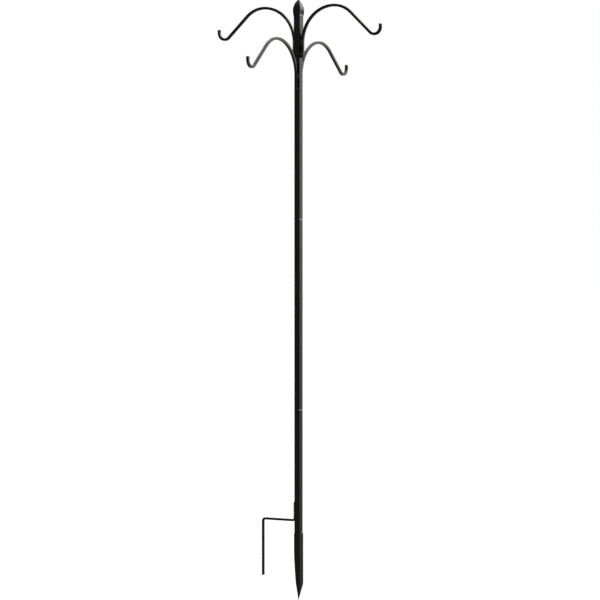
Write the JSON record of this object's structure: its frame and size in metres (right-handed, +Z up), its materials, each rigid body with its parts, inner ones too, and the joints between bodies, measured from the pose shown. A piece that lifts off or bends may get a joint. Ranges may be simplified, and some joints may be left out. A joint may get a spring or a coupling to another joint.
{
  "type": "hanging plant stand",
  "caption": "Square garden pole in push-together sections with a spear finial, four arched hook arms, a step-in prong and a ground spike.",
  "frame": {"origin": "on the pole's axis at ground level, the underside of the step prong's cross bar", "axes": "+Z up the pole; +X along the upper right arm, away from the step prong; +Y along the lower back arm"},
  "size_m": [0.6804, 0.6772, 2.1358],
  "materials": {
    "pole_paint": "semi-gloss black paint over square steel tube",
    "bar_paint": "semi-gloss black paint over square steel bar",
    "hammered_paint": "semi-gloss black paint over lightly hammered tube",
    "cast_paint": "hammered casting in semi-gloss black paint",
    "weld_paint": "rippled weld bead under black paint",
    "bare_steel": "mill-finish steel, hidden inside the tubes"
  },
  "bodies": {
    "bottom_section": {"bottom_tube": "pole_paint", "bottom_spigot": "bare_steel", "bottom_plug_weld": "weld_paint", "ground_spike": "pole_paint", "spike_tacks": "weld_paint", "step_prong": "bar_paint", "prong_welds": "weld_paint"},
    "middle_section": {"middle_tube": "pole_paint", "middle_spigot": "bare_steel", "middle_plug_weld": "weld_paint"},
    "top_section": {"top_tube": "pole_paint", "lower_arm_front": "bar_paint", "lower_arm_back": "bar_paint", "lower_arm_welds": "weld_paint"},
    "head": {"head_sleeve": "hammered_paint", "finial": "cast_paint", "upper_arm_right": "bar_paint", "upper_arm_left": "bar_paint", "upper_arm_welds": "weld_paint"}
  },
  "joints": [
    {"name": "middle_pull", "type": "slide", "parent": "bottom_section", "child": "middle_section", "axis": [0, 0, 1], "range_m": [0, 0.085]},
    {"name": "top_pull", "type": "slide", "parent": "middle_section", "child": "top_section", "axis": [0, 0, 1], "range_m": [0, 0.085]},
    {"name": "head_lift", "type": "slide", "parent": "top_section", "child": "head", "axis": [0, 0, 1], "range_m": [0, 0.125]}
  ]
}
